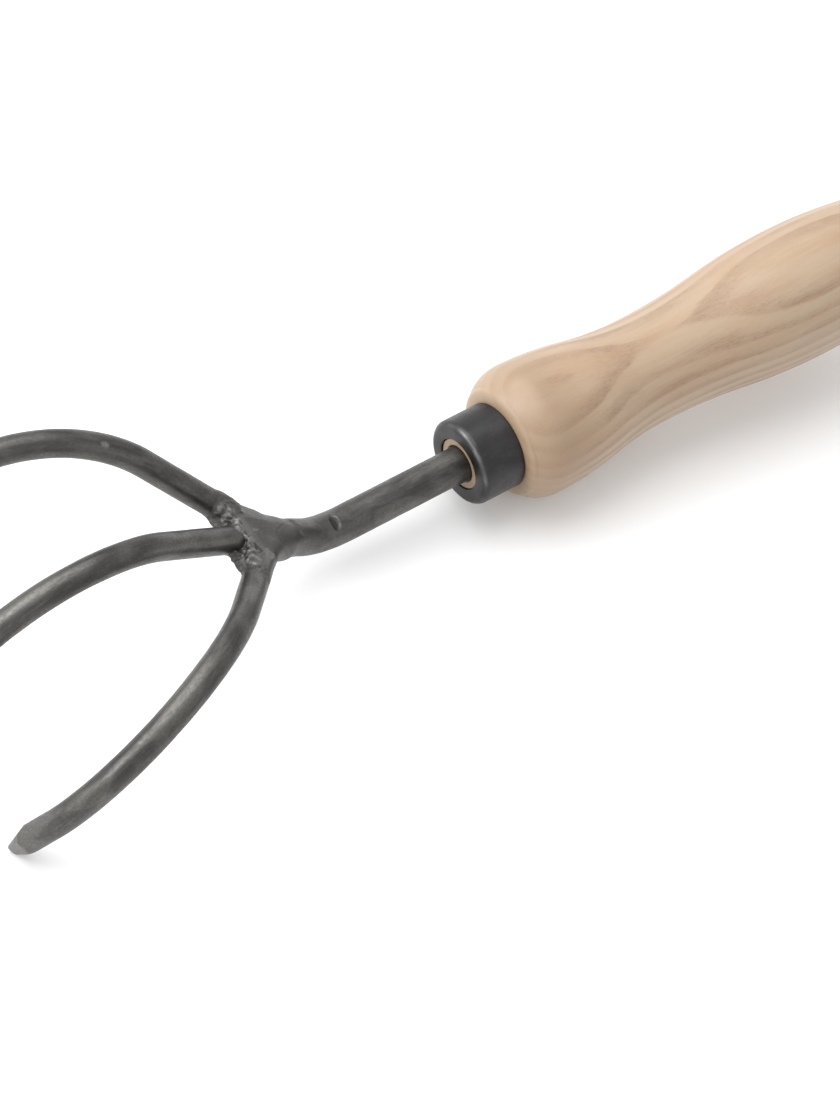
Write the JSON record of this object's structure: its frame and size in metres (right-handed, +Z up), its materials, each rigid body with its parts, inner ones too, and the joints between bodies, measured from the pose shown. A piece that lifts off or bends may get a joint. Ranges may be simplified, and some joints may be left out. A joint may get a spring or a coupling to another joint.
{
  "type": "hand rake",
  "caption": "Short hand rake or cultivator with hooked round-bar steel tines welded to a bent shank, a steel ferrule and a turned wooden handle with a hanging hole.",
  "frame": {"origin": "bottom centre of the bounding box, with the tool lying on its three points and on the front bulge of its handle", "axes": "+X from the handle to the tines, +Y to the tool's left, +Z up from the ground"},
  "size_m": [0.3184, 0.0906, 0.0603],
  "materials": {
    "ash_wood": "satin lacquer",
    "ferrule_steel": "dark satin",
    "bar_steel": "dark heat-treated, clear coated",
    "weld_metal": "as welded, partly ground",
    "resin": "cured resin"
  },
  "bodies": {
    "root": {"handle": "ash_wood", "ferrule": "ferrule_steel", "tang_adhesive": "resin", "shank": "bar_steel", "outer_tines": "bar_steel", "centre_tine": "bar_steel", "neck_weld": "weld_metal", "weld_left": "weld_metal", "weld_right": "weld_metal"}
  },
  "joints": []
}
